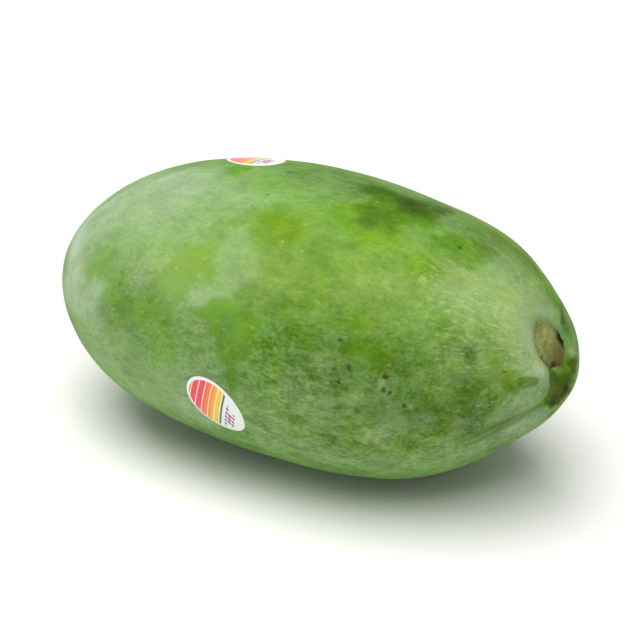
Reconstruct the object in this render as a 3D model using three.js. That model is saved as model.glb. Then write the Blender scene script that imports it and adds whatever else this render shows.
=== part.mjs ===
// A whole green mango lying on its flank, with the cut stub of its stem and two oval paper labels.
// Millimetres, +Z up. +X points to the stem end. The fruit rests on a small flat spot at Z = 0.
import * as THREE from "three";
import { mergeVertices } from "three/addons/utils/BufferGeometryUtils.js";

// The whole fruit, before its local swells and hollows.
const fruit = {
  length: 151, // apex to stem end
  width: 87, // the wide way across, level as it lies
  height: 75.5, // the flat way across, upright as it lies
  fullness: [1, 0.03, 0.23, -0.11, -0.38], // polynomial from the apex (-1) to the stem end (1)
  restTilt: 1, // degrees that the stem end is lifted, so that the weight is over the flat spot
  restDepth: 0.8, // how far the flat spot is pressed in
  rings: 52,
  segments: 84,
  ringCrowding: 0.58, // how strongly the rings crowd round the stem
};

// The stem leaves above the tip of the end, out of a shallow hollow with a faint rim.
const stem = {
  direction: [0.946, -0.01, 0.322],
  hollowDepth: 2.2,
  hollowRadius: 8.5,
  rimHeight: 0.5,
  rimRadius: 13,
  rimWidth: 5,
  stubLength: 12.6, // down the end of the fruit
  stubWidth: 10.8,
  stubEdgeHeight: 0.35,
  stubShoulderHeight: 0.85,
  stubRingHeight: 1.2,
  stubPithHeight: 0.6, // in its middle
  stubSegments: 28,
};

// The groove starts under the stem, runs down over the tip and fades out along the lower flank.
const groove = {
  route: [
    [73, -1, 6],
    [75, -2, 1.5],
    [75, -3.5, -3],
    [73, -6, -6.3],
    [69.8, -10.8, -8],
    [61.5, -18.5, -13.3],
    [50, -26, -18],
  ],
  depth: 3.2,
  deepestAt: 0.25, // share of its length
  halfWidth: 6,
  halfWidthAtEnd: 2.6,
  steepness: 2.4, // of its sides
  steps: 48,
};

// Swells (+) and dents (-) that keep the fruit from being a plain egg.
const swells = [
  { at: [68, -16, -1], radius: 9, height: 1.5 }, // shoulder in front of the groove
  { at: [58, -24, -8], radius: 8, height: 0.7 }, // its lower end
  { at: [70, 12, 6], radius: 9, height: 1.2 }, // shoulder behind the groove
  { at: [64, 17, 15], radius: 8, height: 0.5 }, // its upper end
  { at: [73, 7, -4], radius: 7, height: 0.6 }, // far edge of the groove
  { at: [70, -2, -11], radius: 8, height: 1 }, // fold under the groove
  { at: [25, 25, 28], radius: 17, height: -1.3 }, // long dent on top, towards the stem
  { at: [50, 24, 19], radius: 12, height: 0.6 },
  { at: [40, -18, -29], radius: 20, height: 0.9 },
  { at: [-13, 20, 33], radius: 14, height: 0.35 },
  { at: [-29, -27, -27], radius: 16, height: -0.5 },
  { at: [-6, -42, 4], radius: 26, height: -0.5 },
  { at: [-44, -26, 14], radius: 24, height: 0.5 },
  { at: [15, 42, -4], radius: 30, height: 1.6 }, // far cheek
  { at: [-46, 33, -6], radius: 18, height: -1.5 }, // waist above the beak
  { at: [56, 22, -12], radius: 18, height: -0.6 },
  { at: [-70, 14.5, -6], radius: 5.5, height: 1.8 }, // blunt beak beside the apex, on the far side
];

// Two oval paper labels, each at a direction from the fruit's middle and turned on the skin.
const label = {
  length: 18.8,
  width: 13.8,
  thickness: 0.3,
  segments: 36,
  rings: 5,
};
const labelPlaces = {
  label_front: { direction: [-0.064, -0.964, -0.258], turn: -42 },
  label_back: { direction: [-0.325, 0.28, 0.88], turn: -25 },
};

const skinGap = 0.35; // the stub and the labels stand this far off the skin
const jointTolerance = 1e-4; // vertices this close are one

const materials = {
  fruit: new THREE.MeshStandardMaterial({ color: "#7fa653", roughness: 0.45, metalness: 0 }),
  stub: new THREE.MeshStandardMaterial({ color: "#6d6340", roughness: 0.9, metalness: 0 }),
  label: new THREE.MeshStandardMaterial({ color: "#f2f1ec", roughness: 0.35, metalness: 0 }),
};

const vector = (list) => new THREE.Vector3(...list);
const bell = (distance, radius, steepness = 2) => Math.exp(-(Math.abs(distance / radius) ** steepness));

// How full the cross-section is at t, from -1 at the apex to 1 at the stem end.
function fullnessAt(t) {
  return fruit.fullness.reduce((sum, factor, power) => sum + factor * t ** power, 0);
}

// The plain body's point in a unit direction.
function bodyPoint(direction) {
  const full = fullnessAt(direction.x) / 2;
  return new THREE.Vector3(
    (fruit.length / 2) * direction.x,
    fruit.width * full * direction.y,
    fruit.height * full * direction.z,
  );
}

// The unit direction whose body point is the one under a place. A few passes settle how full it is there.
function directionTo(place) {
  const direction = new THREE.Vector3();
  for (let pass = 0; pass < 4; pass++) {
    const full = fullnessAt(direction.x);
    direction.set(place.x / fruit.length, place.y / fruit.width / full, place.z / fruit.height / full);
    direction.normalize();
  }
  return direction;
}

// The plain body's outward normal, from two small steps along the surface.
function bodyNormal(direction) {
  const smallStep = 1e-3;
  const helper = Math.abs(direction.x) < 0.9 ? new THREE.Vector3(1, 0, 0) : new THREE.Vector3(0, 0, 1);
  const first = new THREE.Vector3().crossVectors(helper, direction).normalize();
  const second = new THREE.Vector3().crossVectors(direction, first);
  const here = bodyPoint(direction);
  const stepAlong = (way) => {
    const nearby = direction.clone().addScaledVector(way, smallStep).normalize();
    return bodyPoint(nearby).sub(here);
  };
  return stepAlong(first).cross(stepAlong(second)).normalize();
}

const stemDirection = vector(stem.direction).normalize();
const stemPoint = bodyPoint(stemDirection);
const grooveCurve = new THREE.CatmullRomCurve3(groove.route.map(vector));
const grooveLine = grooveCurve.getSpacedPoints(groove.steps).map((point) => bodyPoint(directionTo(point)));
const swellCentres = swells.map((swell) => vector(swell.at));

// Depth of the groove at a place: deepest over the tip, nothing at its two ends.
function grooveDepth(place) {
  let nearest = Infinity;
  let share = 0;
  grooveLine.forEach((point, index) => {
    const distance = point.distanceTo(place);
    if (distance < nearest) {
      nearest = distance;
      share = index / groove.steps;
    }
  });
  const rise = THREE.MathUtils.smoothstep(share, -groove.deepestAt, groove.deepestAt);
  const fall = 1 - THREE.MathUtils.smoothstep(share, groove.deepestAt, 1);
  const halfWidth = THREE.MathUtils.lerp(groove.halfWidth, groove.halfWidthAtEnd, Math.sqrt(share));
  return groove.depth * rise * fall * bell(nearest, halfWidth, groove.steepness);
}

// Height of the real skin over the plain body.
function relief(place) {
  const fromStem = stemPoint.distanceTo(place);
  let height = -stem.hollowDepth * bell(fromStem, stem.hollowRadius);
  height += stem.rimHeight * bell(fromStem - stem.rimRadius, stem.rimWidth);
  height -= grooveDepth(place);
  swells.forEach((swell, index) => {
    height += swell.height * bell(swellCentres[index].distanceTo(place), swell.radius);
  });
  return height;
}

// The skin's point in a unit direction, raised by some height.
function skinPoint(direction, raised = 0) {
  const place = bodyPoint(direction);
  return place.clone().addScaledVector(bodyNormal(direction), relief(place) + raised);
}

// Drops the attributes that keep shared vertices apart, and joins those vertices.
function closed(geometry) {
  geometry.deleteAttribute("normal");
  geometry.deleteAttribute("uv");
  const joined = mergeVertices(geometry, jointTolerance);
  joined.computeVertexNormals();
  return joined;
}

// Moves every vertex of a geometry by a function of its place.
function reshape(geometry, move) {
  const places = geometry.getAttribute("position");
  for (let i = 0; i < places.count; i++) {
    const moved = move(new THREE.Vector3().fromBufferAttribute(places, i));
    places.setXYZ(i, moved.x, moved.y, moved.z);
  }
  return geometry;
}

// Turns a place as the fruit comes to rest, with its stem end a little higher.
const crosswise = new THREE.Vector3(0, 1, 0);
const settle = (place) => place.applyAxisAngle(crosswise, -THREE.MathUtils.degToRad(fruit.restTilt));

// The fruit: a ball with one pole at the stem, carried onto the skin and pressed flat underneath.
function makeFruit() {
  const ball = new THREE.SphereGeometry(1, fruit.segments, fruit.rings);
  const toStem = new THREE.Quaternion().setFromUnitVectors(new THREE.Vector3(0, 1, 0), stemDirection);
  reshape(ball, (place) => {
    const polar = Math.acos(THREE.MathUtils.clamp(place.y, -1, 1));
    const around = Math.atan2(place.z, place.x);
    const crowded = polar - fruit.ringCrowding * Math.sin(polar);
    const direction = new THREE.Vector3().setFromSphericalCoords(1, crowded, Math.PI / 2 - around);
    return settle(skinPoint(direction.applyQuaternion(toStem)));
  });
  const lowest = new THREE.Box3().setFromBufferAttribute(ball.getAttribute("position")).min.z;
  reshape(ball, (place) => place.setZ(Math.max(place.z, lowest + fruit.restDepth)));
  return closed(ball);
}

// Lays a flat piece on the skin: its X and Z run along the skin from the place, and its Y stands off it.
function layOnSkin(geometry, { direction, turn }) {
  const middle = vector(direction).normalize();
  const centre = skinPoint(middle);
  const normal = bodyNormal(middle);
  const along = new THREE.Vector3(1, 0, 0).projectOnPlane(normal).normalize();
  along.applyAxisAngle(normal, THREE.MathUtils.degToRad(turn));
  const across = new THREE.Vector3().crossVectors(normal, along).negate();
  reshape(geometry, (place) => {
    const target = centre.clone().addScaledVector(along, place.x).addScaledVector(across, place.z);
    return settle(skinPoint(directionTo(target), skinGap + place.y));
  });
  return closed(geometry);
}

// The stem's cut stub: a low woody disc with a raised ring round its sunken pith.
function makeStub() {
  const profile = [
    [0, 0],
    [0.3, 0],
    [0.6, 0],
    [0.85, 0],
    [1, 0],
    [1, stem.stubEdgeHeight],
    [0.86, stem.stubShoulderHeight],
    [0.66, stem.stubRingHeight],
    [0.48, stem.stubRingHeight],
    [0.3, stem.stubPithHeight],
    [0, stem.stubPithHeight],
  ].map(([across, up]) => new THREE.Vector2(across, up));
  const disc = new THREE.LatheGeometry(profile, stem.stubSegments);
  disc.scale(stem.stubLength / 2, 1, stem.stubWidth / 2);
  return layOnSkin(disc, { direction: stem.direction, turn: 0 });
}

// One oval label: a thin disc with rings enough to follow the skin.
function makeLabel(place) {
  const underside = [];
  for (let ring = 0; ring <= label.rings; ring++) {
    underside.push(new THREE.Vector2(ring / label.rings, 0));
  }
  const face = underside.map((point) => new THREE.Vector2(point.x, label.thickness)).reverse();
  const disc = new THREE.LatheGeometry([...underside, ...face], label.segments);
  disc.scale(label.length / 2, 1, label.width / 2);
  return layOnSkin(disc, place);
}

function named(name, geometry, material) {
  const mesh = new THREE.Mesh(geometry, material);
  mesh.name = name;
  return mesh;
}

const mango = new THREE.Group();
mango.add(named("fruit", makeFruit(), materials.fruit));
mango.add(named("stem_stub", makeStub(), materials.stub));
for (const [name, place] of Object.entries(labelPlaces)) {
  mango.add(named(name, makeLabel(place), materials.label));
}

// The origin is under the middle of the whole, on the surface that it rests on.
const box = new THREE.Box3().setFromObject(mango);
const middle = box.getCenter(new THREE.Vector3());
mango.position.set(-middle.x, -middle.y, -box.min.z);

const part = new THREE.Group();
part.add(mango);
export default part;
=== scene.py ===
import bpy
import math
import numpy as np
from mathutils import Matrix, Vector, noise
from mathutils.bvhtree import BVHTree


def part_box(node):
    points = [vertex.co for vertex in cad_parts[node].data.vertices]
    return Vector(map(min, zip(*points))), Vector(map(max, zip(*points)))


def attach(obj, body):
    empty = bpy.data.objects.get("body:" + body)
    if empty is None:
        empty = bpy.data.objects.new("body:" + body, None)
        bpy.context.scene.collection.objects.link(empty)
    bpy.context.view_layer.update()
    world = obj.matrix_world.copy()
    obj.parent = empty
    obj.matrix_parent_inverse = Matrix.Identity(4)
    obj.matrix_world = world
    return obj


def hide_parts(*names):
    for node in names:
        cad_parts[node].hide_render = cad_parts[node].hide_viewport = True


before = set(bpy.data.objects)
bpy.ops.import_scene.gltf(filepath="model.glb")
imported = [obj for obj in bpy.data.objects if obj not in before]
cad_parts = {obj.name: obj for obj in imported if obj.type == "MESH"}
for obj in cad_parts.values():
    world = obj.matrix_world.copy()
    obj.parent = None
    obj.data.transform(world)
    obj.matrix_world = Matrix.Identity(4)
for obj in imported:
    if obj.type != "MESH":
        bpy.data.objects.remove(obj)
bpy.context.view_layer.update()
print("frame loaded:", sorted(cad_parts))

mm = 0.001  # the dictionaries below are in millimetres, Blender works in metres


# small helpers for the mesh work

def onlySelect(piece):
    if bpy.context.object and bpy.context.object.mode != "OBJECT":
        bpy.ops.object.mode_set(mode="OBJECT")
    bpy.ops.object.select_all(action="DESELECT")
    piece.select_set(True)
    bpy.context.view_layer.objects.active = piece


def applyModifier(piece, kind, **settings):
    onlySelect(piece)
    modifier = piece.modifiers.new(kind.lower(), kind)
    for key, value in settings.items():
        setattr(modifier, key, value)
    bpy.ops.object.modifier_apply(modifier=modifier.name)


def verticesOf(piece):
    points = np.zeros(len(piece.data.vertices) * 3, np.float32)
    piece.data.vertices.foreach_get("co", points)
    return points.reshape(-1, 3).astype(float)


def moveVertices(piece, points):
    piece.data.vertices.foreach_set("co", np.asarray(points, np.float32).ravel())
    piece.data.update()


def normalsOf(piece):
    normals = np.zeros(len(piece.data.vertices) * 3, np.float32)
    piece.data.vertex_normals.foreach_get("vector", normals)
    return normals.reshape(-1, 3).astype(float)


def storeNumbers(piece, name, values):
    layer = piece.data.attributes.new(name, "FLOAT", "POINT")
    layer.data.foreach_set("value", np.asarray(values, np.float32))


def storeVectors(piece, name, values):
    layer = piece.data.attributes.new(name, "FLOAT_VECTOR", "POINT")
    layer.data.foreach_set("vector", np.asarray(values, np.float32).ravel())


def ease(values, low, high):
    t = np.clip((values - low) / (high - low), 0, 1)
    return t * t * (3 - 2 * t)


# distance of every point to a line through the given places, all in the same unit
def distanceToLine(points, places):
    places = np.asarray(places, float)
    if len(places) == 1:
        return np.linalg.norm(points - places[0], axis=1)
    best = np.full(len(points), 1e9)
    for a, b in zip(places[:-1], places[1:]):
        t = np.clip((points - a) @ (b - a) / ((b - a) @ (b - a)), 0, 1)
        best = np.minimum(best, np.linalg.norm(points - (a + t[:, None] * (b - a)), axis=1))
    return best


# how far inside a closed outline each flat point lies, less than 0 outside
def insideOutline(flat, outline):
    corners = np.array([*outline, outline[0]], float)
    within = np.zeros(len(flat), bool)
    for a, b in zip(corners[:-1], corners[1:]):
        crosses = (a[1] > flat[:, 1]) != (b[1] > flat[:, 1])
        slope = (b[0] - a[0]) / (b[1] - a[1]) if a[1] != b[1] else 0
        within ^= crosses & (flat[:, 0] < a[0] + slope * (flat[:, 1] - a[1]))
    return np.where(within, 1, -1) * distanceToLine(flat, corners)


# materials: numbers are wires, so that a pattern reads as a sum

# a colour of a screen, 0 to 255, as the shader takes it
def tint(red, green, blue):
    shares = [channel / 255 for channel in (red, green, blue)]
    return (*(c / 12.92 if c <= 0.04 else ((c + 0.055) / 1.055) ** 2.4 for c in shares), 1)


class Wire:
    def __init__(self, paint, socket):
        self.paint, self.socket = paint, socket

    def __add__(self, other):
        return self.paint.sum("ADD", self, other)

    def __radd__(self, other):
        return self.paint.sum("ADD", other, self)

    def __sub__(self, other):
        return self.paint.sum("SUBTRACT", self, other)

    def __rsub__(self, other):
        return self.paint.sum("SUBTRACT", other, self)

    def __mul__(self, other):
        return self.paint.sum("MULTIPLY", self, other)

    def __rmul__(self, other):
        return self.paint.sum("MULTIPLY", other, self)

    def __abs__(self):
        return self.paint.sum("ABSOLUTE", self)


class Paint:
    def __init__(self, name):
        self.material = bpy.data.materials.new(name)
        self.material.use_nodes = True
        self.tree = self.material.node_tree
        self.tree.nodes.clear()
        self.output = self.tree.nodes.new("ShaderNodeOutputMaterial")
        self.place = self.node("ShaderNodeTexCoord", {}, {}, "Object")

    def plug(self, socket, value):
        if isinstance(value, Wire):
            self.tree.links.new(value.socket, socket)
        else:
            socket.default_value = value

    # any node: its kind, its settings, then its sockets by name or number
    def node(self, kind, settings, sockets, out=0):
        made = self.tree.nodes.new(kind)
        for key, value in settings.items():
            setattr(made, key, value)
        for key, value in sockets.items():
            self.plug(made.inputs[key], value)
        return Wire(self, made.outputs[out])

    def sum(self, operation, *values):
        return self.node("ShaderNodeMath", {"operation": operation}, dict(enumerate(values)))

    def smooth(self, value, low, high, first=0.0, last=1.0):
        return self.node("ShaderNodeMapRange", {"interpolation_type": "SMOOTHSTEP"},
                         {0: value, 1: low, 2: high, 3: first, 4: last})

    def mix(self, factor, first, second):
        return self.node("ShaderNodeMix", {"data_type": "RGBA", "clamp_factor": True},
                         {0: factor, 6: first, 7: second}, 2)

    def painted(self, name, out="Fac"):
        return self.node("ShaderNodeAttribute", {"attribute_name": name}, {}, out)

    def spread(self, vector, scales):
        return self.node("ShaderNodeVectorMath", {"operation": "MULTIPLY"}, {0: vector, 1: scales})

    def shift(self, vector, other):
        return self.node("ShaderNodeVectorMath", {"operation": "ADD"}, {0: vector, 1: other})

    # soft random values, 0 to 1 about 0.5, whose blobs are about the given size
    def clouds(self, size, detail=2.0, rough=0.5, vector=None, out=0):
        return self.node("ShaderNodeTexNoise", {}, {"Vector": vector or self.place, "Scale": 1 / size,
                                                    "Detail": detail, "Roughness": rough}, out)

    def cells(self, size, vector=None, out="Distance"):
        return self.node("ShaderNodeTexVoronoi", {}, {"Vector": vector or self.place, "Scale": 1 / size}, out)

    # how far outside the nearest of some round spots a point lies, in millimetres
    def toSpots(self, spots, vector=None):
        nearest = None
        for x, y, z, radius in spots:
            away = self.node("ShaderNodeVectorMath", {"operation": "DISTANCE"},
                             {0: vector or self.place, 1: (x * mm, y * mm, z * mm)}, "Value")
            away = away * (1 / mm) - radius
            nearest = away if nearest is None else self.sum("MINIMUM", nearest, away)
        return nearest

    def surface(self, colour, roughness, height, bump=1.0, **settings):
        shader = self.tree.nodes.new("ShaderNodeBsdfPrincipled")
        self.plug(shader.inputs["Base Color"], colour)
        self.plug(shader.inputs["Roughness"], roughness)
        normal = self.node("ShaderNodeBump", {}, {"Height": height, "Strength": bump, "Distance": mm})
        self.plug(shader.inputs["Normal"], normal)
        for key, value in settings.items():
            shader.inputs[key].default_value = value
        self.tree.links.new(shader.outputs[0], self.output.inputs[0])
        return self.material


# camera, light and floor

view = {
    "azimuth": 31, "elevation": 27, "distance": 900, "sensor": 36,
    "pixels": 640, "millimetresPerPixel": 0.2653,  # the picture's side, and its scale at the fruit
    # the place that is looked at, and how far right and down of it the middle of the picture is
    "middle": (0, 0, 37.2), "right": 1.27, "down": 2.07,
    "nearest": 50, "farthest": 20000,
}
light = {
    "horizon": 0.12, "zenith": 0.38, "worldTint": (0.97, 0.985, 1.0),
    "key": {"place": (-90, -130, 1000), "size": (1850, 1000), "power": 19.0, "tint": (1, 0.99, 0.96)},
    "fill": {"place": (-300, -1300, 330), "size": (1100, 400), "power": 2.3, "tint": (0.97, 0.99, 1)},
    "aim": (0, 0, 30),
    "floor": {"size": 6000, "tint": (246, 246, 245)},
}


def addCamera():
    turn, rise = math.radians(view["azimuth"]), math.radians(view["elevation"])
    right = Vector((math.cos(turn), math.sin(turn), 0))
    back = Vector((math.sin(turn) * math.cos(rise), -math.cos(turn) * math.cos(rise), math.sin(rise)))
    up = back.cross(right)
    aim = Vector(view["middle"]) + right * view["right"] - up * view["down"]
    bpy.ops.object.camera_add(location=(aim + back * view["distance"]) * mm)
    camera = bpy.context.object
    camera.name = "camera"
    camera.rotation_euler = (-back).to_track_quat("-Z", "Y").to_euler()
    camera.data.sensor_width = view["sensor"]
    camera.data.lens = view["sensor"] * view["distance"] / view["millimetresPerPixel"] / view["pixels"]
    camera.data.clip_start, camera.data.clip_end = view["nearest"] * mm, view["farthest"] * mm
    bpy.context.scene.camera = camera


def addPanel(name):
    panel = light[name]
    place = Vector(panel["place"]) * mm
    aim = Vector(light["aim"]) * mm
    bpy.ops.object.light_add(type="AREA", location=place)
    lamp = bpy.context.object
    lamp.name = name
    lamp.rotation_euler = (aim - place).to_track_quat("-Z", "Y").to_euler()
    lamp.data.shape = "RECTANGLE"
    lamp.data.size, lamp.data.size_y = (side * mm for side in panel["size"])
    lamp.data.energy = panel["power"]
    lamp.data.color = panel["tint"]


def addFloor():
    bpy.ops.mesh.primitive_plane_add(size=light["floor"]["size"] * mm, location=(0, 0, 0))
    floor = bpy.context.object
    floor.name = "floor"
    paint = Paint("floor_white")
    paint.surface(tint(*light["floor"]["tint"]), 0.7, paint.clouds(4 * mm), bump=0.02)
    floor.data.materials.append(paint.material)


# an even white sky, darker near the horizon, so that the shadow keeps its core
def addSky():
    world = bpy.data.worlds.new("studio")
    bpy.context.scene.world = world
    world.use_nodes = True
    nodes, links = world.node_tree.nodes, world.node_tree.links
    sky = nodes["Background"]
    rising, height = nodes.new("ShaderNodeMapRange"), nodes.new("ShaderNodeSeparateXYZ")
    around = nodes.new("ShaderNodeTexCoord")
    links.new(around.outputs["Generated"], height.inputs[0])
    links.new(height.outputs[2], rising.inputs[0])
    links.new(rising.outputs[0], sky.inputs["Strength"])
    rising.inputs[3].default_value, rising.inputs[4].default_value = light["horizon"], light["zenith"]
    sky.inputs["Color"].default_value = (*light["worldTint"], 1)


bpy.context.scene.view_settings.view_transform = "Standard"
addSky()
addCamera()
addPanel("key")
addPanel("fill")
addFloor()
print("camera, light and floor ready")


# the fruit

fruit = {
    "cuts": 60,
    "axis": ((-74, 0, 33), (72, -1.5, 46)),  # blossom end, stem
    "unevenness": ((14, 0.16), (5, 0.05)),   # size, height
    "calm": (0.5, 6),                        # heights over the floor between which it sets in
    "wobble": ((6, 2.4), (1.8, 1.1)),        # size, how far the edge of a patch strays
    "heart": (0, 0, 37), "girth": 38,        # a place inside, and the mean radius, for the grain
}

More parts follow.
